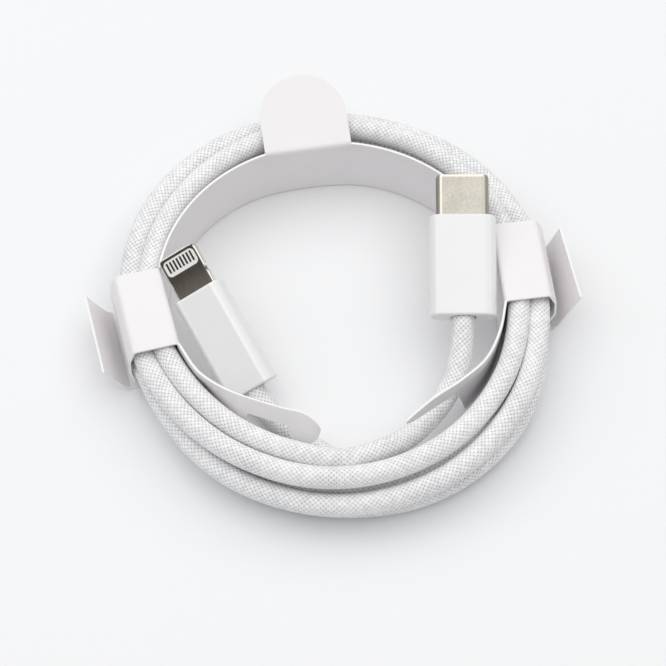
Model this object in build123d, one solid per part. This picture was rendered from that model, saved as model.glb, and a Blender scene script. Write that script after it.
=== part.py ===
from build123d import *
import os
from math import atan2, cos, degrees, hypot, pi, radians, sin, tan

# Charging cable: a braided cord with a USB-C plug and an eight-contact plug, wound into a
# coil of five turns and held by a folded card holder.
# Millimetres, +Z up, standing on z = 0. The front of the coil, where its ends lie, faces -Y.

# ---------------------------------------------------------------- driving dimensions
CORD_DIA = 3.6
RING_X, RING_Y = -0.32, -7.87      # centre of the coil; the origin is under the middle of card and plugs
COIL_HEIGHT = 10.9       # three layers of cord, slightly nested
COIL_EDGE_R = 1.7        # the cord's own roundness along the coil's edges
COIL_STEP_DEG = 30       # the coil's two outlines are given at this spacing, clockwise from 6 o'clock
COIL_INNER_R = [26.3, 25.8, 26.1, 27.7, 28.5, 28.4, 28.2, 28.3, 28.5, 27.8, 28.4, 28.2]
COIL_OUTER_R = [36.1, 34.8, 32.8, 32.4, 35.1, 36.1, 36.5, 36.3, 34.6, 32.8, 35.2, 36.3]

CARD = 0.35              # thickness of the card
STRIP_HEIGHT = 11.5
STRIP_R = 27.5           # the strip's arcs, on the inside of the coil
TAB_WIDTH = 14.0
CREASE_GAP = 0.3         # what a panel stands off its crease axis
CREASE_Z = STRIP_HEIGHT - CARD / 2
TONGUE_Z = 7.0           # the half-height tongues at the strip's ends start here
HEAD_R = 2.2

# place of each crease on the strip: direction it faces, distance from the coil's centre, shift along it
LEFT = (194.0, 25.4, -3.6)
RIGHT = (7.7, 26.6, 1.5)
TOP = (99.0, 26.5, -0.3)

OVER_WIDTH = 7.0         # from the strip out to the crease above the coil's outer edge
SIDE_FOOT_Z = 2.4        # lower edge of a side panel, which swings out inside the flap
LEFT_SIDE_FOOT = 7.5     # how far out that edge is, from the strip
RIGHT_SIDE_FOOT = 7.0
LEFT_FLAP_X = 8.75       # the floor crease, from the strip
RIGHT_FLAP_X = 8.55
LEFT_FLAP = (65.0, 8.0, 8.0)       # angle above the floor, length at front, length at back
RIGHT_FLAP = (68.0, 10.3, 8.2)
TOP_TAB_ANGLE = 15.0
TOP_TAB_STRAIGHT = 5.7

# USB-C plug, in its own frame: tip at y = 0, body towards -Y, flat sides up and down
USB_TIP = (20.5, 18.1, 16.1)       # from the coil's centre
USB_HEADING, USB_PITCH, USB_ROLL = 0.0, 17.0, 0.0
USB_SHELL = (8.34, 2.56)
USB_SHELL_WALL = 0.22
SHELL_CORNER = 0.6       # the drawn shell's front corners, seen from above
USB_INSERT = 6.65        # shell that shows past the boot
USB_BOOT = (10.5, 4.9, 16.2)
USB_BOOT_CORNER = 2.2
USB_PITCH_MM = 0.5       # between contacts
USB_CONTACTS = 12        # in each row

# Eight-contact plug, in the same kind of frame
TAB_TIP = (-24.55, 6.09, 13.09)
TAB_HEADING, TAB_PITCH, TAB_ROLL = 32.0, 22.0, 30.0
TAB_BLADE = (6.7, 1.5)
TAB_INSERT = 7.15
TAB_BOOT = (8.3, 4.6, 17.75)
TAB_BOOT_CORNER = 1.5
TAB_CONTACTS = 8
TAB_CONTACT_PITCH = 0.62
TAB_WINDOW = (5.9, 2.9, 0.85)    # width, length and corner radius of the window in the blade
TAB_WINDOW_Y = -2.0

BOOT_WALL = 0.7
BOOT_BACK = 2.0          # solid end of a boot, round the crimp collar
CORE_BACK = 1.2          # solid end of an inner moulding
CONDUCTOR_R = 1.3        # the bundle of conductors, where the braid and jacket are stripped
BOOT_EDGE_R = 0.35
COLLAR_WALL = 0.25

# The free stretches of cord: a straight run out of the plug, then points from the coil's centre
USB_RUN = 4.9
USB_LEAD = [(18.2, -14.2, 5.0), (12.6, -21.6, 4.6), (6.2, -26.1, 6.4)]
TAB_RUN = 3.5
TAB_LEAD = [(-5.9, -20.6, 1.85), (0.2, -24.9, 1.85), (6.2, -27.6, 1.9)]


def save(node, shape):
    shape.label = node
    export_step(shape, f"parts/{node}.step")


def plug_place(tip, heading, pitch, roll):
    """X across the plug, +Y out of its tip, Z through its thickness."""
    return Pos(tip[0] + RING_X, tip[1] + RING_Y, tip[2]) * Rot(0, 0, heading) * Rot(pitch, 0, 0) * Rot(0, -roll, 0)


def on_ring(shape):
    """Puts a shape made about the coil's centre into the part's frame."""
    return Pos(RING_X, RING_Y, 0) * shape


def at_clock(angle, radius):
    """A point of the coil's plan, at an angle clockwise from 6 o'clock."""
    return (-radius * sin(radians(angle)), -radius * cos(radians(angle)))


def block(x0, x1, y0, y1, z0, z1):
    return Pos((x0 + x1) / 2, (y0 + y1) / 2, (z0 + z1) / 2) * Box(x1 - x0, y1 - y0, z1 - z0)


def group(solids):
    return Compound(children=list(solids))


# ---------------------------------------------------------------- coil
def coil_outline(radii):
    points = [at_clock(k * COIL_STEP_DEG, r) for k, r in enumerate(radii)]
    return make_face(Spline(*points, periodic=True))


def crease_place(place, z=0.0):
    """X out from the strip, Y along the crease, Z up."""
    angle, distance, shift = place
    return Rot(0, 0, angle) * Pos(distance, shift, z)


def make_coil():
    body = extrude(coil_outline(COIL_OUTER_R) - coil_outline(COIL_INNER_R), COIL_HEIGHT)
    top = body.edges().filter_by(lambda e: e.center().Z > COIL_HEIGHT - 0.1)
    body = fillet(top, COIL_EDGE_R)
    bottom = body.edges().filter_by(lambda e: e.center().Z < 0.1)
    body = fillet(bottom, COIL_EDGE_R)
    # the card's under panels pass below the coil
    pocket = TAB_WIDTH / 2 + 0.4
    for place, reach in ((LEFT, LEFT_FLAP_X), (RIGHT, RIGHT_FLAP_X)):
        body -= crease_place(place) * block(-1, reach + 1, -pocket, pocket, -1, CARD + 0.15)
    return body


# ---------------------------------------------------------------- cord between coil and plugs
def lead_path(place, back, run, route):
    """Straight runs joined by arcs as large as the runs allow, and the radii."""
    corners = [(place * Pos(0, y, 0)).position for y in (back + BOOT_BACK, back - run)]
    corners += [on_ring(Pos(*p)).position for p in route]
    radii = []
    for a, b, c in zip(corners, corners[1:], corners[2:]):
        turn = (b - a).get_angle(c - b)
        run = min((b - a).length, (c - b).length)
        radii.append(0.45 * run / tan(radians(turn / 2)))
    return FilletPolyline(*corners, radius=radii), radii


def make_lead(name, place, back, run, route):
    path, radii = lead_path(place, back, run, route)
    tube = sweep(Plane(origin=path @ 0, z_dir=path % 0) * Circle(CORD_DIA / 2), path=path)
    section = pi * (CORD_DIA / 2) ** 2
    print(name, "radii", [round(r, 1) for r in radii], "length", round(path.length, 1),
          "volume / (section x length)", round(tube.volume / (section * path.length), 3))
    return tube


# ---------------------------------------------------------------- card holder
def strip_line():
    """The strip's centre line in plan: flats at the three creases, arcs between, two free ends."""
    ends = {}
    for name, place in (("left", LEFT), ("right", RIGHT), ("top", TOP)):
        where = crease_place(place)
        low = (where * Pos(0, -TAB_WIDTH / 2, 0)).position
        high = (where * Pos(0, TAB_WIDTH / 2, 0)).position
        ends[name] = ((low.X, low.Y), (high.X, high.Y))
    left_back, left_front = ends["left"]
    right_front, right_back = ends["right"]
    top_right, top_left = ends["top"]
    left_end = [left_front, (-20.4, -13.9), (-16.4, -17.1), (-12.4, -19.1), (-7.6, -20.7), (-2.6, -22.3)]
    right_end = [right_front, (26.1, -6.9), (23.5, -12.1), (19.9, -15.6), (15.6, -19.0), (11.4, -22.6)]
    line = Spline(*reversed(left_end))
    line += Line(left_front, left_back)
    line += ThreePointArc(left_back, at_clock(128, STRIP_R + 0.1), top_left)
    line += Line(top_left, top_right)
    line += ThreePointArc(top_right, at_clock(215, STRIP_R + 0.1), right_back)
    line += Line(right_back, right_front)
    line += Spline(*right_end)
    return line


def tongue_shape(tip_x, root_x):
    """Side view of a tongue: half as high as the strip, with a rounded head that droops a little."""
    middle = (TONGUE_Z + STRIP_HEIGHT) / 2
    toward = 1 if tip_x > root_x else -1
    shaft = Pos((tip_x + root_x) / 2 - toward * HEAD_R / 2, middle) * Rectangle(
        abs(tip_x - root_x) - HEAD_R, STRIP_HEIGHT - TONGUE_Z)
    head = Pos(tip_x - toward * HEAD_R, middle) * Circle(HEAD_R)
    return extrude(Plane.XZ * (shaft + head), 40)


def make_strip():
    wall = extrude(trace(strip_line(), CARD), STRIP_HEIGHT)
    for root_x, tip_x, hook in ((-12.2, -2.4, 1.6), (18.6, 11.3, -1.6)):
        beyond = (root_x, tip_x + 3) if tip_x > root_x else (tip_x - 3, root_x)
        end = block(beyond[0], beyond[1], -30, -15, -1, STRIP_HEIGHT + 1)
        tongue = (wall & end) & tongue_shape(tip_x, root_x)
        wall = (wall - end) + tongue
        # the slanted slit that hooks one end into the other
        slit = Plane.XZ * Polygon((root_x - hook, -1), (root_x + hook, -1), (root_x, TONGUE_Z), align=None)
        wall -= extrude(slit, 40)
    return wall


def panel(length, width=TAB_WIDTH, start=CREASE_GAP):
    """A flat card panel along +X from its crease axis, which is the Y axis."""
    return block(start, length, -width / 2, width / 2, -CARD / 2, CARD / 2)


def make_side_panel(place, foot):
    drop = CREASE_Z - SIDE_FOOT_Z
    lean = degrees(atan2(drop, foot - OVER_WIDTH))
    length = hypot(drop, foot - OVER_WIDTH)
    return crease_place(place, CREASE_Z) * Pos(OVER_WIDTH, 0, 0) * Rot(0, lean, 0) * panel(length)


def make_flap(place, crease_x, shape, front):
    """The flap springs up outside the coil; front is the sign of Y at its front edge."""
    angle, front_length, back_length = shape
    half = TAB_WIDTH / 2
    outline = Polygon(
        (CREASE_GAP, -front * half), (back_length, -front * half),
        (front_length, front * half), (CREASE_GAP, front * half), align=None)
    blank = Pos(0, 0, -CARD / 2) * extrude(outline, CARD)
    return crease_place(place, CARD / 2) * Pos(crease_x, 0, 0) * Rot(0, -angle, 0) * blank


def make_top_tab():
    half = TAB_WIDTH / 2
    straight = Pos((CREASE_GAP + TOP_TAB_STRAIGHT) / 2, 0) * Rectangle(TOP_TAB_STRAIGHT - CREASE_GAP, TAB_WIDTH)
    outline = straight + Pos(TOP_TAB_STRAIGHT, 0) * Circle(half)
    outline &= Pos(CREASE_GAP + 20, 0) * Rectangle(40, 40)
    blank = Pos(0, 0, -CARD / 2) * extrude(outline, CARD)
    return crease_place(TOP, CREASE_Z) * Rot(0, -TOP_TAB_ANGLE, 0) * blank


def make_card():
    inside = CARD / 2
    save("card_strip", on_ring(make_strip()))
    save("card_top_tab", on_ring(make_top_tab()))
    sides = (
        ("left", LEFT, LEFT_SIDE_FOOT, LEFT_FLAP_X, LEFT_FLAP, 1),
        ("right", RIGHT, RIGHT_SIDE_FOOT, RIGHT_FLAP_X, RIGHT_FLAP, -1),
    )
    for side, place, foot, flap_x, flap, front in sides:
        over = crease_place(place, CREASE_Z) * panel(OVER_WIDTH - CREASE_GAP)
        under = crease_place(place, CARD / 2) * panel(flap_x - CREASE_GAP, start=inside)
        save(f"card_{side}_over_panel", on_ring(over))
        save(f"card_{side}_side_panel", on_ring(make_side_panel(place, foot)))
        save(f"card_{side}_under_panel", on_ring(under))
        save(f"card_{side}_flap", on_ring(make_flap(place, flap_x, flap, front)))


# ---------------------------------------------------------------- plugs
def rounded(width, height, corner):
    return RectangleRounded(width, height, min(corner, height / 2 - 0.001))


def bar(profile, y_front, y_back):
    """A profile drawn in the plug's cross section, run from y_front back to y_back."""
    return Pos(0, y_front, 0) * extrude(Plane.XZ * profile, y_front - y_back)


def sleeve(outer, inner, y_front, y_back):
    return bar(outer, y_front, y_back) - bar(inner, y_front + 1, y_back - 1)


def row_of(count, pitch, make):
    return group([Pos((k - (count - 1) / 2) * pitch, 0, 0) * make() for k in range(count)])


def make_boot(size, corner, mouth, insert, core):
    """Moulded cover: a rounded block, hollow for the core, open for the shell and for the cord."""
    width, height, length = size
    body = bar(rounded(width, height, corner), -insert, -insert - length)
    body = fillet(body.edges().filter_by(GeomType.LINE, reverse=True).group_by(Axis.Y)[0], BOOT_EDGE_R)
    body = fillet(body.edges().filter_by(GeomType.LINE, reverse=True).group_by(Axis.Y)[-1], BOOT_EDGE_R)
    back = -insert - length
    body -= bar(mouth, 0, -insert - 2)
    body -= bar(core, -insert - BOOT_WALL, back + BOOT_BACK)
    body -= bar(Circle(CORD_DIA / 2 + COLLAR_WALL), back + BOOT_BACK + 1, back - 1)
    return body


def make_core(core, can, insert, back):
    """Inner moulding between the shield can and the boot, closed round the conductors at the back."""
    y_back = back + BOOT_BACK
    body = bar(core, -insert - BOOT_WALL, y_back)
    body -= bar(can, -insert, y_back + CORE_BACK)
    body -= bar(Circle(CONDUCTOR_R), y_back + CORE_BACK + 1, y_back - 1)
    return body


def make_collar(back):
    """Crimp ring that grips the cord behind the plug's inner moulding."""
    return sleeve(Circle(CORD_DIA / 2 + COLLAR_WALL), Circle(CORD_DIA / 2), back + BOOT_BACK, back + 0.15)


def make_wires(count, spread, y_board, y_cord):
    """Conductors that fan out from the cord's end to the pads on the board."""
    wires = []
    for k in range(count):
        side = k - (count - 1) / 2
        start = Vector(side * spread, y_board, 0.75)
        end = Vector(side * 0.5, y_cord, 0)
        path = Line(start, end)
        wires.append(sweep(Plane(origin=path @ 0, z_dir=path % 0) * Circle(0.19), path=path))
    return group(wires)


def make_usb_plug(place, back):
    width, height = USB_SHELL
    wall = USB_SHELL_WALL
    bore = rounded(width - 2 * wall, height - 2 * wall, height)
    shell_back = -9.6
    core = rounded(USB_BOOT[0] - 2 * BOOT_WALL, USB_BOOT[1] - 2 * BOOT_WALL, 1.2)
    can = rounded(8.7, 2.9, 1.0)
    pieces = {}

    shell = sleeve(rounded(width, height, height), bore, 0, shell_back)
    lip = Pos(0, shell_back / 2) * Rectangle(width, -shell_back)
    shell &= extrude(fillet(lip.vertices().group_by(Axis.Y)[-1], SHELL_CORNER), height, both=True)
    pieces["usb_c_shell"] = shell

    # the insulator holds two rows of contacts round the slot that takes the socket's tongue
    body = bar(rounded(width - 2 * wall - 0.06, height - 2 * wall - 0.06, height), -0.5, -9.2)
    body -= block(-3.35, 3.35, -5.9, 1, -0.42, 0.42)
    for side in (-1, 1):
        groove = block(-3.1, 3.1, -9.3, -1.0, min(side * 0.42, side * 0.72), max(side * 0.42, side * 0.72))
        body -= groove
        body -= block(side * 3.5 - 0.16, side * 3.5 + 0.16, -6.5, 1, -0.42, 0.42)
        body -= block(-2.6, 2.6, -3.9, -1.3, side * 0.9 - 0.19, side * 0.9 + 0.19)
    body -= block(-2.6, 2.6, -9.3, -6.0, -0.1, 0.1)
    pieces["usb_c_insulator"] = body

    for name, side in (("upper", 1), ("lower", -1)):
        z0, z1 = sorted((side * 0.45, side * 0.6))
        pieces[f"usb_c_{name}_contacts"] = row_of(
            USB_CONTACTS, USB_PITCH_MM, lambda: block(-0.11, 0.11, -10.4, -1.2, z0, z1))
    pieces["usb_c_mid_plate"] = block(-2.5, 2.5, -9.1, -6.1, -0.075, 0.075)
    pieces["usb_c_side_latches"] = group(
        [block(side * 3.5 - 0.1, side * 3.5 + 0.1, -6.4, -1.6, -0.3, 0.3) for side in (-1, 1)])
    pieces["usb_c_ground_springs"] = group(
        [block(-2.4, 2.4, -3.8, -1.4, side * 0.84 - 0.06, side * 0.84 + 0.06) for side in (-1, 1)])
    pieces["usb_c_circuit_board"] = block(-3.9, 3.9, -15.2, -9.7, -0.4, 0.4)
    pieces["usb_c_marker_chip"] = block(-1.1, 1.1, -13.2, -11.2, -1.05, -0.45)
    pieces["usb_c_board_passives"] = group(
        [block(x - 0.25, x + 0.25, -13.0, -12.0, -0.85, -0.45) for x in (-3.0, -2.2, 2.2, 3.0)])
    pieces["usb_c_shield_can"] = sleeve(can, rounded(8.3, 2.5, 0.8), -9.7, back + 4.4)
    core_shape = make_core(core, can, USB_INSERT, back)
    core_shape -= bar(rounded(width, height, height), 0, shell_back)
    pieces["usb_c_inner_moulding"] = core_shape
    mouth = rounded(width, height, height)
    pieces["usb_c_boot"] = make_boot(USB_BOOT, USB_BOOT_CORNER, mouth, USB_INSERT, core)
    pieces["usb_c_crimp_collar"] = make_collar(back)
    pieces["usb_c_wires"] = make_wires(5, 1.1, -14.6, back + 3.4)
    for node, shape in pieces.items():
        save(node, place * shape)


def make_tab_plug(place, back):
    width, height = TAB_BLADE
    core = rounded(TAB_BOOT[0] - 2 * BOOT_WALL, TAB_BOOT[1] - 2 * BOOT_WALL, 0.8)
    can = rounded(6.4, 2.7, 0.7)
    pieces = {}

    # blade: one metal frame, rounded at the tip, with a window through it for the contacts
    plan = Pos(0, -4.75) * Rectangle(width, 9.5)
    blade = Pos(0, 0, -height / 2) * extrude(plan, height)
    blade = fillet(blade.edges().filter_by(Axis.Z).group_by(Axis.Y)[-1], 1.2)
    blade = fillet(blade.edges().group_by(Axis.Y)[-1], 0.25)
    for side in (-1, 1):
        blade -= Pos(side * (width / 2 + 0.55), -4.6, 0) * Cylinder(0.9, height + 1)
    window = Pos(0, TAB_WINDOW_Y) * RectangleRounded(*TAB_WINDOW)
    blade -= Pos(0, 0, -height) * extrude(window, 2 * height)
    blade -= block(-2.3, 2.3, -10, -3.0, -0.3, 0.3)
    pieces["tab_plug_blade"] = blade

    insert = Pos(0, 0, -height / 2 + 0.03) * extrude(window, height - 0.06)
    tail = block(-2.25, 2.25, -9.0, -2.9, -0.26, 0.26)
    insert += tail
    pitch = TAB_CONTACT_PITCH
    for k in range(TAB_CONTACTS):
        x = (k - (TAB_CONTACTS - 1) / 2) * pitch
        for side in (-1, 1):
            z0, z1 = sorted((side * 0.5, side * 0.8))
            insert -= block(x - 0.16, x + 0.16, -2.7, -1.0, z0, z1)
    pieces["tab_plug_insulator"] = insert
    for name, side in (("front", 1), ("back", -1)):
        z0, z1 = sorted((side * 0.5, side * 0.74))
        pieces[f"tab_plug_{name}_contacts"] = row_of(
            TAB_CONTACTS, pitch, lambda: block(-0.16, 0.16, -2.7, -1.0, z0, z1))
    pieces["tab_plug_circuit_board"] = block(-2.7, 2.7, -17.0, -9.7, -0.4, 0.4)
    pieces["tab_plug_control_chip"] = block(-1.2, 1.2, -13.6, -11.2, -1.0, -0.45)
    pieces["tab_plug_board_passives"] = group(
        [block(x - 0.25, x + 0.25, y - 0.5, y, -0.85, -0.45) for x in (-2.1, 2.1) for y in (-11.4, -12.8)])
    pieces["tab_plug_shield_can"] = sleeve(can, rounded(6.0, 2.3, 0.5), -9.7, back + 4.4)
    core_shape = make_core(core, can, TAB_INSERT, back)
    core_shape -= block(-width / 2, width / 2, -9.5, 0, -height / 2, height / 2)
    pieces["tab_plug_inner_moulding"] = core_shape
    mouth = Rectangle(width, height)
    pieces["tab_plug_boot"] = make_boot(TAB_BOOT, TAB_BOOT_CORNER, mouth, TAB_INSERT, core)
    pieces["tab_plug_crimp_collar"] = make_collar(back)
    pieces["tab_plug_wires"] = make_wires(4, 0.9, -16.4, back + 3.4)
    for node, shape in pieces.items():
        save(node, place * shape)


# ---------------------------------------------------------------- build
os.makedirs("parts", exist_ok=True)
usb_place = plug_place(USB_TIP, USB_HEADING, USB_PITCH, USB_ROLL)
usb_back = -USB_INSERT - USB_BOOT[2]
tab_place = plug_place(TAB_TIP, TAB_HEADING, TAB_PITCH, TAB_ROLL)
tab_back = -TAB_INSERT - TAB_BOOT[2]
save("coil", on_ring(make_coil()))
save("usb_c_lead", make_lead("usb_c_lead", usb_place, usb_back, USB_RUN, USB_LEAD))
save("tab_plug_lead", make_lead("tab_plug_lead", tab_place, tab_back, TAB_RUN, TAB_LEAD))
make_card()
make_usb_plug(usb_place, usb_back)
make_tab_plug(tab_place, tab_back)
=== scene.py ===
import math

import bpy
import numpy as np
from mathutils import Matrix, Vector


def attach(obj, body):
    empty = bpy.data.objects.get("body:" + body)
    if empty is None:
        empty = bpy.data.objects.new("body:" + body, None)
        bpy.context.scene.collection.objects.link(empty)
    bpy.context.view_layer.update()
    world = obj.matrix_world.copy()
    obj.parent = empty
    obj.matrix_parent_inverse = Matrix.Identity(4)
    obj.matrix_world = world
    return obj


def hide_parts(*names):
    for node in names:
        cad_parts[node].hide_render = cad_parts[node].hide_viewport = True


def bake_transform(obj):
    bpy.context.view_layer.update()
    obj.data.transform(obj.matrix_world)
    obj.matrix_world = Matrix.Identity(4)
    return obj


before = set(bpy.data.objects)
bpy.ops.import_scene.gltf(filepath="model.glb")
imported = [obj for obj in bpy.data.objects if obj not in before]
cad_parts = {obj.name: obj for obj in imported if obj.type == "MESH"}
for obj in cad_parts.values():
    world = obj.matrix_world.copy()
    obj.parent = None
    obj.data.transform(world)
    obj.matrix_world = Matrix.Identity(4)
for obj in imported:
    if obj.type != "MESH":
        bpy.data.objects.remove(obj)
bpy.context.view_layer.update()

# ---------------------------------------------------------------- table, lights and camera
# The coiled cable lies on a plain white table under soft studio light. The camera looks down
# on it from the front, where the ends of the cord leave the coil.
MM = 0.001
COIL_CENTRE = Vector((-0.32, -7.87, 0.0)) * MM


class Value:
    """A socket of a material. A sum or product written with it adds the nodes that work it out."""

    def __init__(self, tree, socket):
        self.tree = tree
        self.socket = socket

    def node(self, kind, settings=None, sockets=None, out=0):
        made = self.tree.nodes.new("ShaderNode" + kind)
        for name, value in (settings or {}).items():
            setattr(made, name, value)
        for name, value in (sockets or {}).items():
            if isinstance(value, Value):
                self.tree.links.new(value.socket, made.inputs[name])
            else:
                made.inputs[name].default_value = value
        return Value(self.tree, made.outputs[out])

    def math(self, operation, *values, clamp=False):
        return self.node("Math", {"operation": operation, "use_clamp": clamp}, dict(enumerate(values)))

    def __add__(self, other):
        return self.math("ADD", self, other)

    __radd__ = __add__

    def __sub__(self, other):
        return self.math("SUBTRACT", self, other)

    def __rsub__(self, other):
        return self.math("SUBTRACT", other, self)

    def __mul__(self, other):
        return self.math("MULTIPLY", self, other)

    __rmul__ = __mul__

    def __pow__(self, other):
        return self.math("POWER", self, other)

    def step(self, low, high):
        """0 below low, 1 above high, smooth between."""
        sockets = {"Value": self, "From Min": low, "From Max": high}
        return self.node("MapRange", {"interpolation_type": "SMOOTHSTEP"}, sockets)

    def blend(self, low, high):
        """A colour between two colours, by this value from 0 to 1."""
        return self.node("Mix", {"data_type": "RGBA"}, {0: self, 6: low, 7: high}, out=2)

    def axes(self):
        """The first two parts of a place: across, and along."""
        split = self.node("SeparateXYZ", {}, {"Vector": self})
        return split, Value(self.tree, split.socket.node.outputs[1])

    def noise(self, scale, detail=3.0, roughness=0.5):
        """Cloudy variation around 0.5; scale is features per metre."""
        sockets = {"Vector": self, "Scale": scale, "Detail": detail, "Roughness": roughness}
        return self.node("TexNoise", {}, sockets)

    def to(self, shader, socket):
        self.tree.links.new(self.socket, shader.inputs[socket])

    def bump(self, shader, depth, strength=1.0):
        raised = self.node("Bump", {}, {"Height": self, "Distance": depth, "Strength": strength})
        raised.to(shader, "Normal")


def rgb(red, green, blue):
    return (red, green, blue, 1.0)


def finish(name, **constants):
    """A material with one shader, and the place on the object to work from."""
    material = bpy.data.materials.new(name)
    material.use_nodes = True
    tree = material.node_tree
    shader = tree.nodes["Principled BSDF"]
    for socket, value in constants.items():
        shader.inputs[socket.replace("_", " ")].default_value = value
    place = Value(tree, tree.nodes.new("ShaderNodeTexCoord").outputs["Object"])
    return material, shader, place


def add_mesh(name, points, faces, *materials):
    mesh = bpy.data.meshes.new(name)
    mesh.from_pydata([tuple(p) for p in points], [], faces)
    for material in materials:
        mesh.materials.append(material)
    piece = bpy.data.objects.new(name, mesh)
    bpy.context.scene.collection.objects.link(piece)
    return piece


TABLE_HALF = 1.6
TABLE_GAP = 0.02 * MM           # the table is this far under the card's foot, so the two share no plane
table_top, shader, place = finish("table_top", Roughness=0.75, Specular_IOR_Level=0.2)
place.noise(9.0).blend(rgb(0.850, 0.856, 0.862), rgb(0.862, 0.867, 0.872)).to(shader, "Base Color")
corners = [(x * TABLE_HALF, y * TABLE_HALF, -TABLE_GAP) for x, y in ((-1, -1), (1, -1), (1, 1), (-1, 1))]
table = add_mesh("table", corners, [(0, 1, 2, 3)], table_top)

aim = COIL_CENTRE + Vector((0.1, -4.6, 6.0)) * MM
camera = bpy.data.objects.new("camera", bpy.data.cameras.new("camera"))
camera.data.sensor_width = 36.0
camera.data.lens = 154.7
camera.data.clip_start = 0.02
camera.location = aim + Vector((0.0, -218.2, 393.6)) * MM
camera.rotation_euler = (aim - camera.location).to_track_quat("-Z", "Y").to_euler()
bpy.context.scene.collection.objects.link(camera)
bpy.context.scene.camera = camera


def soft_box(name, place, size, watts, tint):
    """A large square lamp that faces the coil."""
    lamp = bpy.data.lights.new(name, "AREA")
    lamp.size = size
    lamp.energy = watts
    lamp.color = tint
    stand = bpy.data.objects.new(name, lamp)
    stand.location = place
    stand.rotation_euler = (Vector((0, 0, 0)) - Vector(place)).to_track_quat("-Z", "Y").to_euler()
    bpy.context.scene.collection.objects.link(stand)


soft_box("ceiling_lamp", (0.05, 0.30, 1.05), 1.7, 10.4, (1.0, 0.992, 0.988))
soft_box("window_lamp", (-0.75, 0.10, 0.70), 0.5, 0.9, (0.97, 0.985, 1.0))
world = bpy.data.worlds.new("studio")
world.use_nodes = True
world.node_tree.nodes["Background"].inputs["Color"].default_value = rgb(0.985, 0.992, 1.0)
world.node_tree.nodes["Background"].inputs["Strength"].default_value = 0.56
bpy.context.scene.world = world
bpy.context.scene.view_settings.view_transform = "Standard"

# ---------------------------------------------------------------- cord
# One braided cord, from inside the USB-C plug, five times round the coil and into the
# eight-contact plug. The sleeve is braided over a soft jacket from 28 bundles of polyester
# yarn, over and under by turns.
CORD_DIA = 3.6 * MM
SLEEVE_CELL = 0.80 * MM         # from one crossing of the braid to the next, along the cord
CELLS_AROUND = 14
PER_CELL = 3                    # mesh points for each crossing, both ways
SLEEVE_RELIEF = 0.17 * MM
FILAMENTS = 3                   # fine ribs across one bundle
STATION_DEG = 30                # each turn of the coil has twelve stations, clockwise from the front
OUT_TO_POINT = 1.0347           # a smooth spline runs inside its points by this much at that spacing

# distance from the coil's centre and height of the cord at each station, mm
TURNS = [
    [(27.8, 8.8), (27.15, 8.95), (27.2, 9.1), (28.95, 9.1), (30.1, 9.0), (31.1, 9.1),
     (31.9, 9.2), (31.6, 9.2), (30.2, 9.15), (29.1, 9.15), (30.1, 9.15), (31.1, 9.05)],
    [(31.5, 9.0), (30.9, 9.0), (30.6, 8.5), (31.7, 8.3), (33.4, 8.2), (34.4, 7.2),
     (34.8, 5.8), (34.6, 5.5), (33.3, 7.6), (32.1, 8.6), (33.7, 8.1), (34.8, 6.7)],
    [(34.4, 5.4), (33.2, 5.4), (30.9, 5.0), (31.5, 4.8), (33.3, 4.7), (34.2, 3.4),
     (33.9, 2.0), (33.8, 1.9), (33.1, 4.1), (31.9, 5.0), (34.6, 3.9), (34.4, 2.1)],
    [(32.7, 1.85), (31.7, 1.85), (29.5, 2.1), (29.5, 2.2), (30.9, 1.95), (31.0, 1.85),
     (30.3, 1.85), (30.1, 1.85), (30.4, 2.2), (30.4, 2.25), (32.2, 2.0), (31.5, 4.3)],
    [(30.9, 5.3), (29.7, 5.35), (27.5, 5.5), (28.8, 5.6), (30.1, 5.4), (30.6, 5.4),
     (31.0, 5.4), (30.7, 5.4), (29.8, 5.45), (29.1, 5.6), (29.3, 4.3), (28.8, 2.2)],
]
# the free stretches, mm from the coil's centre
FROM_USB_PLUG = [(20.5, -1.84, 10.0), (20.5, -8.4, 7.99), (18.5, -14.6, 4.9),
                 (12.4, -22.4, 4.8), (6.3, -26.7, 7.9)]
TO_TAB_PLUG = [(6.3, -27.7, 1.9), (0.2, -24.9, 1.85), (-5.9, -20.6, 1.85),
               (-10.6, -16.24, 2.45), (-13.3, -11.92, 4.51)]

route = [Vector(p) for p in FROM_USB_PLUG]
for turn in TURNS:
    for station, (out, height) in enumerate(turn):
        angle = math.radians(station * STATION_DEG)
        reach = out * OUT_TO_POINT
        route.append(Vector((-reach * math.sin(angle), -reach * math.cos(angle), height)))
route += [Vector(p) for p in TO_TAB_PLUG]

line = bpy.data.curves.new("cord_line", "CURVE")
line.dimensions = "3D"
line.resolution_u = 24
spline = line.splines.new("NURBS")
spline.points.add(len(route) - 1)
for point, at in zip(spline.points, route):
    point.co = (*(COIL_CENTRE + at * MM), 1.0)
spline.order_u = 3
spline.use_endpoint_u = True
guide = bpy.data.objects.new("cord_line", line)
bpy.context.scene.collection.objects.link(guide)
bpy.context.view_layer.update()
guide_mesh = bpy.data.meshes.new_from_object(guide)
cord_path = np.array([v.co for v in guide_mesh.vertices])
bpy.data.objects.remove(guide)

# rings of the sleeve, evenly spaced along the line
gaps = np.linalg.norm(np.diff(cord_path, axis=0), axis=1)
run = np.concatenate([[0.0], np.cumsum(gaps)])
cord_length = float(run[-1])
ring_count = int(cord_length / SLEEVE_CELL * PER_CELL)
along = np.arange(ring_count + 1) * SLEEVE_CELL / PER_CELL
centres = np.stack([np.interp(along, run, cord_path[:, k]) for k in range(3)], axis=1)
forward = np.gradient(centres, axis=0)
forward /= np.linalg.norm(forward, axis=1)[:, None]
sideways = np.zeros_like(forward)
across = np.cross(forward[0], (0.0, 0.0, 1.0))
for k, ahead in enumerate(forward):
    across = across - ahead * np.dot(across, ahead)
    across /= np.linalg.norm(across)
    sideways[k] = across
upward = np.cross(sideways, forward)

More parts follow.
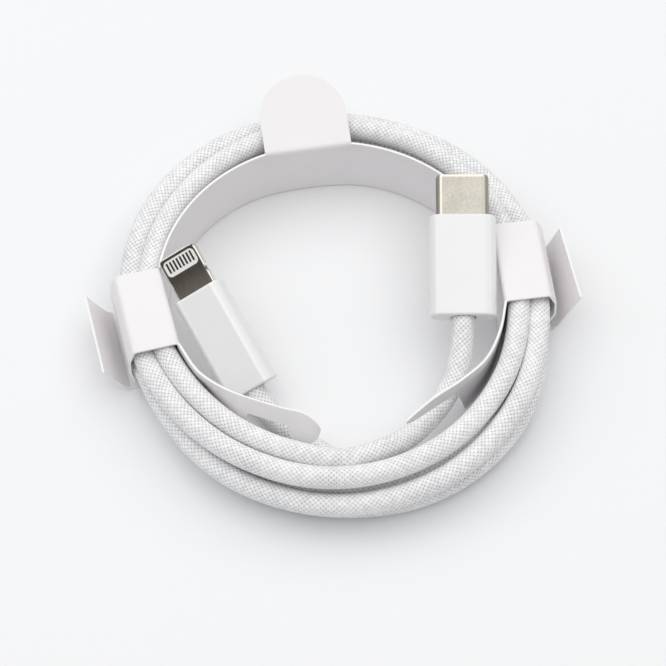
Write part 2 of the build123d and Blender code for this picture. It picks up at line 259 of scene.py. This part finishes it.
# two families of bundles cross at right angles, over and under by turns
points_around = CELLS_AROUND * PER_CELL
cells_round = (np.arange(points_around) + 0.5) / PER_CELL
cells_along = along / SLEEVE_CELL
first = cells_round[None, :] + cells_along[:, None]
second = cells_round[None, :] - cells_along[:, None]
first_on_top = (np.floor(first) + np.floor(second)) % 2 < 1
over = np.where(first_on_top, first % 1, second % 1)
under = np.where(first_on_top, second % 1, first % 1)
lift = (1 - 0.6 * (2 * over - 1) ** 2) * (0.35 + 0.65 * np.sin(math.pi * under))
swell = 1 + 0.006 * np.sin(along / (9 * MM)) + 0.005 * np.sin(along / (23 * MM) + 1.0)
radius = (CORD_DIA / 2) * swell[:, None] - SLEEVE_RELIEF * (1 - lift)
turned = 2 * math.pi * cells_round / CELLS_AROUND
skin = (centres[:, None, :]
        + radius[:, :, None] * (np.cos(turned)[None, :, None] * sideways[:, None, :]
                                + np.sin(turned)[None, :, None] * upward[:, None, :]))

ring = np.arange(points_around)
after = (ring + 1) % points_around
start = np.arange(ring_count)[:, None] * points_around
ahead_ring = start + points_around
faces = np.stack([start + ring, start + after, ahead_ring + after, ahead_ring + ring], axis=2)
faces = faces.reshape(-1, 4)
mesh = bpy.data.meshes.new("cord")
mesh.vertices.add(skin.shape[0] * points_around)
mesh.vertices.foreach_set("co", skin.reshape(-1).astype(np.float32))
mesh.loops.add(faces.size)
mesh.loops.foreach_set("vertex_index", faces.reshape(-1).astype(np.int32))
mesh.polygons.add(len(faces))
mesh.polygons.foreach_set("loop_start", (np.arange(len(faces)) * 4).astype(np.int32))
mesh.polygons.foreach_set("use_smooth", np.ones(len(faces), bool))
mesh.update(calc_edges=True)

# the sleeve's own coordinates: cells round the cord, and cells along it
round_low = np.tile((ring + 0.5) / PER_CELL, ring_count)
round_high = round_low + 1 / PER_CELL
along_low = np.repeat(cells_along[:-1], points_around)
along_high = along_low + 1 / PER_CELL
wrap = np.stack([round_low, along_low, round_high, along_low,
                 round_high, along_high, round_low, along_high], axis=1)
mesh.uv_layers.new(name="sleeve").data.foreach_set("uv", wrap.reshape(-1).astype(np.float32))

braid, shader, place = finish("cord_braid", Roughness=0.8, Specular_IOR_Level=0.25, Sheen_Weight=0.15)
cells = place.node("UVMap", {"uv_map": "sleeve"})
around, lengthwise = cells.axes()
bundle_a = around + lengthwise
bundle_b = around - lengthwise
part_a = around.math("FRACT", bundle_a)
part_b = around.math("FRACT", bundle_b)
whole_a = around.math("FLOOR", bundle_a)
whole_b = around.math("FLOOR", bundle_b)
a_under = around.math("FLOORED_MODULO", whole_a + whole_b, 2.0)
across_yarn = part_a + (part_b - part_a) * a_under
from_side = (across_yarn * 2 - 1) ** 2
corner = ((part_a * 2 - 1) ** 2) * ((part_b * 2 - 1) ** 2)
filaments = around.math("SINE", across_yarn * (2 * math.pi * FILAMENTS)) * 0.5 + 0.5
crossing = around.node("CombineXYZ", {}, {0: whole_a, 1: whole_b})
uneven = crossing.node("TexWhiteNoise", {"noise_dimensions": "2D"}, {"Vector": crossing})
cloud = place.noise(170.0)
# painted shade: how dark the holes between crossings are painted
hole_shade = 0.32 + place.noise(900.0) * 0.5
# Painted shade in the colour: each bundle darkens towards its sides, where it dips under the next; the holes
# between crossings darken most, and the grooves between fine ribs a little. The tone that differs by
# crossing and in clouds is the yarn's own.
tone = 1.0 - from_side ** 2 * 0.34 - corner * hole_shade - filaments * 0.04
tone = tone - uneven * 0.22 - (cloud - 0.3) * 0.30
tone.step(-0.25, 1.0).blend(rgb(0.20, 0.20, 0.21), rgb(0.93, 0.93, 0.935)).to(shader, "Base Color")
(filaments * 0.2 - from_side * 0.4 - corner * 0.6).bump(shader, 0.05 * MM, 0.6)
mesh.materials.append(braid)

cord = bpy.data.objects.new("cord", mesh)
bpy.context.scene.collection.objects.link(cord)
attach(cord, "cable")
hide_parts("coil", "usb_c_lead", "tab_plug_lead")

# ---------------------------------------------------------------- card holder: loop inside the coil
# One sheet of thin coated card, die cut and folded by hand. The long wall stands on edge inside
# the coil; its two ends are slit half way so that they can hook together.
CARD = 0.35 * MM
WALL_TOP = 11.5
FOLD_FOOT = 9.9           # where a panel's fold starts up the wall
TAB_HALF = 7.0
LEFT_NECK_LOW = 8.8
RIGHT_NECK_LOW = 8.0
HEAD_R = 2.6
LEFT = (194.0, 25.4, -3.6)         # direction a crease faces, distance from the centre, shift along it
RIGHT = (7.7, 26.6, 1.5)
TOP = (99.0, 26.5, -0.3)

card_face, shader, place = finish("card_face", Roughness=0.52, Specular_IOR_Level=0.35, Coat_Weight=0.08)
fibres = place.noise(1400.0, 5.0, 0.65)
mottle = place.noise(90.0)
pulp = fibres * 0.5 + mottle * 0.5
pulp.blend(rgb(0.815, 0.788, 0.800), rgb(0.900, 0.876, 0.887)).to(shader, "Base Color")
(fibres * 0.25 + 0.42).to(shader, "Roughness")
fibres.bump(shader, 0.012 * MM, 0.6)
card_cut, shader, place = finish("card_cut_edge", Roughness=0.85, Specular_IOR_Level=0.15)
fuzz = place.noise(5200.0, 2.0)
fuzz.blend(rgb(0.86, 0.86, 0.86), rgb(0.95, 0.95, 0.945)).to(shader, "Base Color")
fuzz.bump(shader, 0.02 * MM, 0.5)


def card_piece(name, rows):
    """A sheet of card through rows of points, with two faces and a cut edge all round."""
    grid = np.array([[tuple(p) for p in row] for row in rows])
    count, wide = grid.shape[:2]
    facing = np.cross(np.gradient(grid, axis=0), np.gradient(grid, axis=1))
    facing /= np.linalg.norm(facing, axis=2)[:, :, None]
    over_face = (grid + facing * CARD / 2).reshape(-1, 3)
    under_face = (grid - facing * CARD / 2).reshape(-1, 3)
    points = np.concatenate([over_face, under_face])
    under = count * wide
    quads = []
    for i in range(count - 1):
        for j in range(wide - 1):
            a, b, c, d = i * wide + j, (i + 1) * wide + j, (i + 1) * wide + j + 1, i * wide + j + 1
            quads += [(a, b, c, d), (under + d, under + c, under + b, under + a)]
    border = [i * wide for i in range(count)]
    border += [(count - 1) * wide + j for j in range(1, wide)]
    border += [i * wide + wide - 1 for i in range(count - 2, -1, -1)]
    border += [j for j in range(wide - 2, 0, -1)]
    rim = [(b, a, under + a, under + b) for a, b in zip(border, border[1:] + border[:1])]
    piece = add_mesh(name, points, quads + rim, card_face, card_cut)
    for k, face in enumerate(piece.data.polygons):
        face.use_smooth = True
        face.material_index = int(k >= len(quads))
    piece.data.set_sharp_from_angle(angle=math.radians(40))
    return piece


def by_crease(crease, out, along_it, up):
    """A point out from the wall, along the crease and above the table, in the part's frame."""
    angle, distance, shift = crease
    outward = Vector((math.cos(math.radians(angle)), math.sin(math.radians(angle)), 0))
    sidelong = Vector((-outward.y, outward.x, 0))
    place = outward * (distance + out) + sidelong * (shift + along_it) + Vector((0, 0, up))
    return COIL_CENTRE + place * MM


def flat_between(crease, start, end, count=14):
    """Places along a crease, on the table."""
    return [by_crease(crease, 0, start + (end - start) * k / count, 0) for k in range(count + 1)]


def clock_point(angle, out):
    """A place round the coil on the table, in degrees clockwise from the front."""
    turned = math.radians(angle)
    return COIL_CENTRE + Vector((-out * math.sin(turned), -out * math.cos(turned), 0)) * MM


def arc_through(a, b, c, count=60):
    """Points of the circle arc from a through b to c, in plan."""
    ab, bc = b - a, c - b
    turn = ab.x * bc.y - ab.y * bc.x
    square = [(p.x ** 2 + p.y ** 2) for p in (a, b, c)]
    from_b, from_c = square[0] - square[1], square[1] - square[2]
    x = (from_b * (b.y - c.y) - from_c * (a.y - b.y)) / (2 * turn)
    y = (from_c * (a.x - b.x) - from_b * (b.x - c.x)) / (2 * turn)
    middle = Vector((x, y, 0))
    begin = math.atan2(a.y - y, a.x - x)
    sweep = math.atan2(c.y - y, c.x - x) - begin
    if turn > 0:
        sweep %= 2 * math.pi
    else:
        sweep = -((-sweep) % (2 * math.pi))
    size = (a - middle).length
    angles = [begin + sweep * k / count for k in range(count + 1)]
    return [middle + Vector((math.cos(t), math.sin(t), 0)) * size for t in angles]


def smooth_through(points, count=24):
    """A smooth line through every point."""
    padded = [points[0] * 2 - points[1]] + list(points) + [points[-1] * 2 - points[-2]]
    result = []
    for p0, p1, p2, p3 in zip(padded, padded[1:], padded[2:], padded[3:]):
        for k in range(count):
            t = k / count
            result.append(0.5 * (2 * p1 + (p2 - p0) * t + (2 * p0 - 5 * p1 + 4 * p2 - p3) * t ** 2
                                 + (3 * p1 - p0 - 3 * p2 + p3) * t ** 3))
    return result + [points[-1]]


LEFT_END = [(-20.7, -14.3), (-16.6, -17.3), (-12.4, -19.1), (-7.6, -20.7), (-4.6, -21.5), (-1.9, -22.9)]
RIGHT_END = [(26.1, -6.9), (23.9, -11.9), (20.0, -15.7), (15.6, -18.9), (11.2, -22.7)]
LEFT_ROOT, LEFT_TIP = -12.2, -1.95
RIGHT_ROOT, RIGHT_TIP = 19.3, 11.2
SLIT_SLANT = 1.6
HEAD_LENGTH = 4.8
FLOOR_GAP = 0.15
ENDS_FRONT_OF, ENDS_MEET = -14, 4     # the ends lie in front of this y, and left and right of this x
LEAN_FROM, LEAN_OVER = -19.5, 6       # the left end leans back from this x, fully so this much on
END_LEAN = 2.3            # how far the left end's foot is in front of its top
LEAN_HEIGHT = 4.5
HEAD_LEAN = 0.5
HEAD_DROP = 2.0           # the head of the left tongue is wider than its neck, below
HEAD_SHOULDER = 1.6
HEAD_DROOP = 0.5
RIGHT_TIP_R = 2.5         # the right end is rounder, by this factor
RIGHT_TIP_DOWN = 0.9
BLUNT = 0.004             # keeps a little height at a tongue's very tip

left_front = by_crease(LEFT, 0, TAB_HALF, 0)
left_back = by_crease(LEFT, 0, -TAB_HALF, 0)
right_back = by_crease(RIGHT, 0, TAB_HALF, 0)
right_front = by_crease(RIGHT, 0, -TAB_HALF, 0)
left_line = [COIL_CENTRE + Vector((x, y, 0)) * MM for x, y in LEFT_END]
right_line = [COIL_CENTRE + Vector((x, y, 0)) * MM for x, y in RIGHT_END]
left_arc = arc_through(left_back, clock_point(128, 27.6), by_crease(TOP, 0, TAB_HALF, 0))
right_arc = arc_through(by_crease(TOP, 0, -TAB_HALF, 0), clock_point(215, 27.6), right_back)


def wall_column(at, folded):
    """Lowest and highest point of the wall at a place along it, and how far its foot leans out."""
    x = (at.x - COIL_CENTRE.x) / MM
    y = (at.y - COIL_CENTRE.y) / MM
    low, high, lean = FLOOR_GAP, FOLD_FOOT if folded else WALL_TOP, 0.0
    if y > ENDS_FRONT_OF:
        return low, high, lean
    left = x < ENDS_MEET
    if left:
        lean = END_LEAN * min(max((x - LEAN_FROM) / LEAN_OVER, 0), 1)
    root, tip = (LEFT_ROOT, LEFT_TIP) if left else (RIGHT_ROOT, RIGHT_TIP)
    toward = 1 if left else -1
    neck_low = LEFT_NECK_LOW if left else RIGHT_NECK_LOW
    past_root = (x - root) * toward
    to_tip = (tip - x) * toward
    if past_root > -SLIT_SLANT:
        low = neck_low * min(1, (past_root + SLIT_SLANT) / SLIT_SLANT) + FLOOR_GAP
    if left and to_tip < HEAD_LENGTH:
        into_head = min((HEAD_LENGTH - to_tip) / HEAD_SHOULDER, 1.0)
        low -= HEAD_DROP * into_head ** 2 * (3 - 2 * into_head)
        gone = (HEAD_LENGTH - to_tip) / HEAD_LENGTH
        lean += HEAD_LEAN * into_head
        low -= HEAD_DROOP * gone ** 2
        high -= HEAD_DROOP * gone ** 2
    head = HEAD_R if left else RIGHT_TIP_R * HEAD_R
    past_head = head - to_tip
    if past_head > 0:
        round_off = 1 - math.sqrt(max(1 - (past_head / head) ** 2, BLUNT))
        middle = (low + high) / 2 if left else WALL_TOP - RIGHT_TIP_DOWN
        low += (middle - low) * round_off
        high += (middle - high) * round_off
    return low, high, lean


stations = [(p, False) for p in smooth_through(list(reversed(left_line)) + [left_front])]
stations += [(p, True) for p in flat_between(LEFT, TAB_HALF - 0.02, -TAB_HALF + 0.02)]
stations += [(p, False) for p in left_arc]
stations += [(p, True) for p in flat_between(TOP, TAB_HALF - 0.02, -TAB_HALF + 0.02)]
stations += [(p, False) for p in right_arc]
stations += [(p, True) for p in flat_between(RIGHT, TAB_HALF - 0.02, -TAB_HALF + 0.02)]
stations += [(p, False) for p in smooth_through([right_front] + right_line)]

# the creases hold the wall's top edge straight, and its foot runs in one smooth curve
ROUNDING = 4.5 * MM
END_EASE = 12 * MM              # near its ends the foot runs straight under the top edge again
EASE_LATE = 0.4
top_rail = np.array([tuple(p) for p, _ in stations])
rail_run = np.concatenate([[0.0], np.cumsum(np.linalg.norm(np.diff(top_rail, axis=0), axis=1))])
weight = np.exp(-0.5 * ((rail_run[:, None] - rail_run[None, :]) / ROUNDING) ** 2)
weight *= np.gradient(rail_run)[None, :]
foot_rail = weight @ top_rail / weight.sum(axis=1)[:, None]
to_end = np.minimum(rail_run, rail_run[-1] - rail_run)
end_ease = np.clip(to_end / END_EASE - EASE_LATE, 0, 1)[:, None]
foot_rail = top_rail + (foot_rail - top_rail) * end_ease

WALL_ROWS = 9
SPREAD = 0.7                    # how soon below the crease the wall takes its foot's curve
wall_rows = []
for (at, folded), above, below in zip(stations, top_rail, foot_rail):
    low, high, lean = wall_column(at, folded)
    row = []
    for k in range(WALL_ROWS + 1):
        up = low + (high - low) * k / WALL_ROWS
        sink = 1 - up / FOLD_FOOT if up < FOLD_FOOT else 0.0
        x, y, _ = above + (below - above) * sink ** SPREAD
        outward = (Vector((x, y, 0)) - COIL_CENTRE).normalized() * lean * MM
        tilt = min((high - up) / LEAN_HEIGHT, 1)
        row.append(Vector((x, y, up * MM)) + outward * tilt)
    wall_rows.append(row)
wall = card_piece("card_loop", wall_rows)
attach(wall, "cable")
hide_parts("card_strip")

# ---------------------------------------------------------------- card holder: folded panels
# The same sheet goes on in panels: a round tab at the back, and a wrap over the coil at each
# side that comes down outside it. A flap cut from the foot of each wrap springs up beside it.
FOLD_R = 0.75
LEVEL = 11.33             # middle of the card where it lies over the coil
SEAM = 3.4                # the two halves of a wrap's top meet here
BEND_STEPS = 8


def folded_line(corners, radius, spacing=0.3):
    """A folded card seen from its edge: straight runs with a round bend at each inner corner."""
    corners = [Vector(c) for c in corners]
    line = [corners[0]]
    for before, corner, beyond in zip(corners, corners[1:], corners[2:]):
        turn = (corner - before).angle(beyond - corner)
        back = radius * math.tan(turn / 2)
        enter = corner + (before - corner).normalized() * back
        leave = corner + (beyond - corner).normalized() * back
        line.append(enter)
        for k in range(1, BEND_STEPS):
            t = k / BEND_STEPS
            line.append(enter * (1 - t) ** 2 + corner * 2 * t * (1 - t) + leave * t ** 2)
        line.append(leave)
    line.append(corners[-1])
    dense = [line[0]]
    for a, b in zip(line, line[1:]):
        pieces = max(1, int((b - a).length / spacing))
        dense += [a.lerp(b, k / pieces) for k in range(1, pieces + 1)]
    return dense


def panel_rows(crease, profile, count=10):
    """Rows of a plain panel as wide as a tab."""
    spread = [TAB_HALF * (2 * k / count - 1) for k in range(count + 1)]
    return [[by_crease(crease, p[0], y, p[1]) for y in spread] for p in profile]


TAB_RISE = math.radians(15)
TAB_REACH = 12.7
TAB_STRAIGHT = 5.7              # its sides run straight so far, then it is a half round
TAB_WIDE = 24
TAB_END = 0.05                  # keeps a little width at the tab's very end
tab_tip = (TAB_REACH * math.cos(TAB_RISE), LEVEL + TAB_REACH * math.sin(TAB_RISE))
tab_line = folded_line([(0, FOLD_FOOT), (0, LEVEL), tab_tip], FOLD_R)
tab_rows = []
for p in tab_line:
    gone = (Vector(p) - Vector((0, LEVEL))).length if p[0] > FOLD_R else 0
    past = max(gone - TAB_STRAIGHT, 0)
    half = math.sqrt(max(TAB_HALF ** 2 - past ** 2, TAB_END))
    tab_rows.append([by_crease(TOP, p[0], half * (2 * k / TAB_WIDE - 1), p[1]) for k in range(TAB_WIDE + 1)])
top_tab = card_piece("card_round_tab", tab_rows)
by_crease(TOP, 0, 0, FOLD_FOOT)
by_crease(TOP, 1.5, 0, LEVEL + 0.4)
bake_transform(top_tab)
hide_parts("card_top_tab")

# each side: its crease, how far out the side panel's belly and foot and the flap's crease are,
# the flap's angle, its lengths at the front and the back, and which way along the crease is front
SIDES = {
    "left": (LEFT, 7.95, 7.5, 8.75, 65.0, 8.0, 8.0, 1),
    "right": (RIGHT, 8.2, 7.0, 8.55, 70.5, 10.3, 8.2, -1),
}
OVER_EDGE = 7.0
UNDER_FROM = 0.2          # the panel under the coil starts this far out from the wall
FLAP_BEND = 0.5           # its bend into the flap takes this much
FLAP_CURL = 0.12
UNDER_STEPS, FLAP_STEPS, FLAP_WIDE = 11, 14, 10
for side, (crease, belly, foot, flap_at, rise, front_length, back_length, front) in SIDES.items():
    inner = folded_line([(0, FOLD_FOOT), (0, LEVEL), (SEAM, LEVEL)], FOLD_R)
    inner_half = card_piece(f"card_{side}_wrap_inner", panel_rows(crease, inner))
    by_crease(crease, 0, 0, FOLD_FOOT)
    by_crease(crease, 1.5, 0, LEVEL)
    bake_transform(inner_half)
    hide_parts(f"card_{side}_over_panel")

    outer = folded_line([(SEAM, LEVEL), (OVER_EDGE, LEVEL), (belly - 0.1, 8.6),
                         (belly, 5.2), (foot, 2.1)], FOLD_R)
    outer_half = card_piece(f"card_{side}_wrap_outer", panel_rows(crease, outer))
    by_crease(crease, OVER_EDGE - 1.5, 0, LEVEL)
    by_crease(crease, OVER_EDGE + 0.1, 0, LEVEL - 1.5)
    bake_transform(outer_half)
    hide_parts(f"card_{side}_side_panel")

    low = CARD / MM / 2
    steep = math.radians(rise)
    flap_rows = []
    spread = [front * TAB_HALF * (2 * v / FLAP_WIDE - 1) for v in range(FLAP_WIDE + 1)]
    for k in range(UNDER_STEPS + 1):
        out = UNDER_FROM + (flap_at - FLAP_BEND - UNDER_FROM) * k / UNDER_STEPS
        flap_rows.append([by_crease(crease, out, y, low) for y in spread])
    for k in range(FLAP_STEPS + 1):
        t = k / FLAP_STEPS
        row = []
        for v, y in enumerate(spread):
            length = back_length + (front_length - back_length) * v / FLAP_WIDE
            gone = t * length
            curl = FLAP_CURL * math.sin(math.pi * t)
            ease = min(gone, 1.0)
            out = flap_at - FLAP_BEND * (1 - ease) + gone * math.cos(steep) * ease + curl * math.sin(steep)
            up = low + gone * math.sin(steep) - curl * math.cos(steep) * 0.5
            row.append(by_crease(crease, out, y, up))
        flap_rows.append(row)
    flap = card_piece(f"card_{side}_foot_flap", flap_rows)
    by_crease(crease, flap_at - 0.4, 0, low)
    by_crease(crease, flap_at + 0.35, 0, low + 0.8)
    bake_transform(flap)
    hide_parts(f"card_{side}_under_panel", f"card_{side}_flap")

# ---------------------------------------------------------------- USB-C plug
# Drawn steel shell, nickel plated and satin, over a black insulator with gold plated contacts.
# Its back half and the cord's end are moulded into a smooth white boot.


def plug_matrix(tip, heading, pitch, roll):
    """Where a plug's tip lies, and how the plug is turned."""
    turn = (Matrix.Rotation(math.radians(heading), 3, "Z") @ Matrix.Rotation(math.radians(pitch), 3, "X")
            @ Matrix.Rotation(math.radians(-roll), 3, "Y"))
    return COIL_CENTRE + Vector(tip) * MM, turn.to_euler("XYZ")


def in_plug(place, plug):
    """Places measured across, along and through a plug, from its tip."""
    tip, turn = plug
    sockets = {"Vector": place, "Location": tuple(tip), "Rotation": tuple(turn)}
    return place.node("Mapping", {"vector_type": "TEXTURE"}, sockets)


def stretched(place, across, along_it, through):
    """Places scaled each way, so that grain worked out from them is drawn out."""
    return place.node("VectorMath", {"operation": "MULTIPLY"}, {0: place, 1: (across, along_it, through)})


def cover(material, *nodes):
    """Gives pieces that come from the part their material."""
    for name in nodes:
        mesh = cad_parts[name].data
        mesh.materials.clear()
        mesh.materials.append(material)


USB_PLUG = plug_matrix((20.5, 18.1, 16.1), 0.0, 17.0, 0.0)
SHELL_HALF = 4.17 * MM
FLANK = 0.55 * MM               # the shell's rounded edge, painted darker than its flat: painted reflection
# where a bright band starts and ends, in from the shell's sides and front edge, and how softly it fades:
# painted highlight
HIGHLIGHT_STARTS, HIGHLIGHT_ENDS, HIGHLIGHT_FADE = 0.50 * MM, 0.78 * MM, 0.22 * MM
TAB_PLUG = plug_matrix((-24.55, 6.09, 13.09), 32.0, 22.0, 30.0)

nickel, shader, place = finish("satin_nickel", Metallic=1.0)
local = in_plug(place, USB_PLUG)
across_shell, ahead_of_tip = local.axes()
from_middle = across_shell.math("ABSOLUTE", across_shell)
behind_edge = ahead_of_tip * -1
inset = across_shell.math("MINIMUM", SHELL_HALF - from_middle, behind_edge + FLANK)
# painted highlight: a bright band just in from the edge, the reflection of a lamp's edge
highlight_begins = inset.step(HIGHLIGHT_STARTS, HIGHLIGHT_STARTS + HIGHLIGHT_FADE)
line = highlight_begins - inset.step(HIGHLIGHT_ENDS, HIGHLIGHT_ENDS + HIGHLIGHT_FADE)
# painted reflection: the rounded edge itself is dark
flank = 1 - inset.step(0.0, FLANK)
grain = stretched(local, 1.0, 0.6, 1.0).noise(5200.0, 4.0)
smudge = local.noise(420.0)
brushed = (grain * 0.6 + smudge * 0.4).step(0.3, 0.7)
face_tone = brushed.blend(rgb(0.365, 0.345, 0.300), rgb(0.520, 0.495, 0.440))
highlighted_face = line.blend(face_tone, rgb(0.80, 0.75, 0.65))
flank.blend(highlighted_face, rgb(0.30, 0.285, 0.235)).to(shader, "Base Color")
(grain * 0.16 + smudge * 0.10 + 0.24).to(shader, "Roughness")
grain.bump(shader, 0.006 * MM, 0.6)
cover(nickel, "usb_c_shell", "usb_c_side_latches", "usb_c_ground_springs", "usb_c_mid_plate",
      "usb_c_shield_can", "tab_plug_shield_can")

# The collars show only as a thin ring deep in each boot's mouth. Their steel is painted dark grey, painted
# shade of the gap there, with some random tone.
collar_in_shade, shader, place = finish("crimp_steel_painted_shade", Metallic=1.0, Roughness=0.45)
rub = place.noise(1500.0)
rub.blend(rgb(0.20, 0.20, 0.20), rgb(0.34, 0.33, 0.32)).to(shader, "Base Color")
(rub * 0.3 + 0.35).to(shader, "Roughness")
cover(collar_in_shade, "usb_c_crimp_collar", "tab_plug_crimp_collar")

black_plastic, shader, place = finish("black_insulator", Roughness=0.55)
speck = place.noise(3000.0)
speck.blend(rgb(0.012, 0.012, 0.013), rgb(0.032, 0.032, 0.034)).to(shader, "Base Color")
speck.bump(shader, 0.006 * MM, 0.5)
cover(black_plastic, "usb_c_insulator")

gold, shader, place = finish("gold_plating", Metallic=1.0, Roughness=0.25)
wear = place.noise(2400.0)
wear.blend(rgb(0.72, 0.52, 0.24), rgb(0.86, 0.68, 0.36)).to(shader, "Base Color")
(wear * 0.2 + 0.16).to(shader, "Roughness")
cover(gold, "usb_c_upper_contacts", "usb_c_lower_contacts")

# each boot: its plug, half its width, its part, and the tone of its painted highlight
for plug, half, node, highlight_tone in ((USB_PLUG, 5.25 * MM, "usb_c_boot", rgb(0.885, 0.885, 0.885)),
                                     (TAB_PLUG, 4.15 * MM, "tab_plug_boot", rgb(0.955, 0.955, 0.955))):
    boot_white, shader, place = finish(node + "_plastic", Specular_IOR_Level=0.5)
    local = in_plug(place, plug)
    across_boot, _ = local.axes()
    from_side = half - across_boot.math("ABSOLUTE", across_boot)
    # painted highlight: a lighter band just in from each side, along the boot's rounded edges
    edge_highlight = from_side.step(0.75 * MM, 1.05 * MM) - from_side.step(1.15 * MM, 1.5 * MM)
    flow = local.noise(160.0, 2.0)
    pore = local.noise(6500.0, 2.0)
    cast = flow.blend(rgb(0.825, 0.825, 0.828), rgb(0.862, 0.862, 0.864))
    edge_highlight.blend(cast, highlight_tone).to(shader, "Base Color")
    (pore * 0.14 + flow * 0.08 + 0.20).to(shader, "Roughness")
    pore.bump(shader, 0.003 * MM, 0.4)
    cover(boot_white, node)

core_white, shader, place = finish("inner_moulding", Roughness=0.6)
flow = place.noise(500.0)
flow.blend(rgb(0.74, 0.74, 0.72), rgb(0.80, 0.80, 0.79)).to(shader, "Base Color")
(flow * 0.3 + 0.45).to(shader, "Roughness")
cover(core_white, "usb_c_inner_moulding", "tab_plug_inner_moulding")

board_green, shader, place = finish("board_mask", Roughness=0.35)
glass_cloth = stretched(place, 1.0, 1.0, 0.2).noise(3500.0)
glass_cloth.blend(rgb(0.015, 0.09, 0.04), rgb(0.03, 0.15, 0.07)).to(shader, "Base Color")
(glass_cloth * 0.25 + 0.25).to(shader, "Roughness")
cover(board_green, "usb_c_circuit_board", "tab_plug_circuit_board")

chip_black, shader, place = finish("chip_package", Roughness=0.6)
dust = place.noise(5000.0)
dust.blend(rgb(0.018, 0.018, 0.02), rgb(0.045, 0.045, 0.048)).to(shader, "Base Color")
cover(chip_black, "usb_c_marker_chip", "tab_plug_control_chip")

ceramic_tan, shader, place = finish("passive_ceramic", Roughness=0.5)
fired = place.noise(4200.0)
fired.blend(rgb(0.28, 0.19, 0.12), rgb(0.42, 0.31, 0.21)).to(shader, "Base Color")
cover(ceramic_tan, "usb_c_board_passives", "tab_plug_board_passives")

wire_red, shader, place = finish("wire_jackets", Roughness=0.5)
drawn = place.noise(900.0)
drawn.blend(rgb(0.36, 0.04, 0.035), rgb(0.48, 0.07, 0.06)).to(shader, "Base Color")
cover(wire_red, "usb_c_wires", "tab_plug_wires")

# ---------------------------------------------------------------- eight-contact plug
# The blade is one nickel plated frame, polished round its edge. Its flats are painted dark, and lighter
# further back from the tip: painted reflection. A white insulator panel fills a window in it and holds eight
# flush contacts on each face.
BLADE_HALF = 3.35 * MM
RIM = 0.30 * MM
WINDOW_Y = -2.0 * MM
WINDOW = (5.9 * MM, 2.9 * MM)
WINDOW_CORNER = 0.85 * MM

blade_metal, shader, place = finish("blade_nickel", Metallic=1.0)
local = in_plug(place, TAB_PLUG)
across_blade, ahead_of_tip = local.axes()
across_blade = across_blade.math("ABSOLUTE", across_blade)
back_from_tip = ahead_of_tip * -1
from_edge = across_blade.math("MINIMUM", BLADE_HALF - across_blade, back_from_tip)
on_flat = from_edge.step(RIM * 0.75, RIM * 1.15)
grain = stretched(local, 1.0, 0.15, 1.0).noise(2300.0)
# painted reflection: the flats are dark near the tip and lighter further back
far_back = back_from_tip.step(3.2 * MM, 7.5 * MM)
flat_dark = grain.blend(rgb(0.075, 0.066, 0.055), rgb(0.125, 0.112, 0.092))
flat_light = grain.blend(rgb(0.17, 0.155, 0.13), rgb(0.25, 0.228, 0.192))
rim_tone = grain.blend(rgb(0.78, 0.74, 0.66), rgb(0.88, 0.84, 0.77))
on_flat.blend(rim_tone, far_back.blend(flat_dark, flat_light)).to(shader, "Base Color")
(grain * 0.12 + on_flat * 0.12 + 0.14).to(shader, "Roughness")
grain.bump(shader, 0.004 * MM, 0.5)
cover(blade_metal, "tab_plug_blade")

panel_white, shader, place = finish("white_insulator", Roughness=0.45)
local = in_plug(place, TAB_PLUG)
across_panel, lengthwise = local.axes()
beyond_side = local.math("ABSOLUTE", across_panel) - (WINDOW[0] / 2 - WINDOW_CORNER)
beyond_end = local.math("ABSOLUTE", lengthwise - WINDOW_Y) - (WINDOW[1] / 2 - WINDOW_CORNER)
side_part = local.math("MAXIMUM", beyond_side, 0.0) ** 2
end_part = local.math("MAXIMUM", beyond_end, 0.0) ** 2
round_corner = (side_part + end_part) ** 0.5
inside = (WINDOW_CORNER - round_corner).step(0.10 * MM, 0.18 * MM)
flow = local.noise(1800.0)
moulded = flow.blend(rgb(0.78, 0.77, 0.74), rgb(0.85, 0.84, 0.81))
inside.blend(rgb(0.05, 0.048, 0.045), moulded).to(shader, "Base Color")
flow.bump(shader, 0.004 * MM, 0.5)
cover(panel_white, "tab_plug_insulator")

contact_dark, shader, place = finish("dark_contacts", Metallic=0.6)
rub = place.noise(2600.0)
rub.blend(rgb(0.022, 0.021, 0.020), rgb(0.055, 0.052, 0.048)).to(shader, "Base Color")
(rub * 0.25 + 0.25).to(shader, "Roughness")
cover(contact_dark, "tab_plug_front_contacts", "tab_plug_back_contacts")
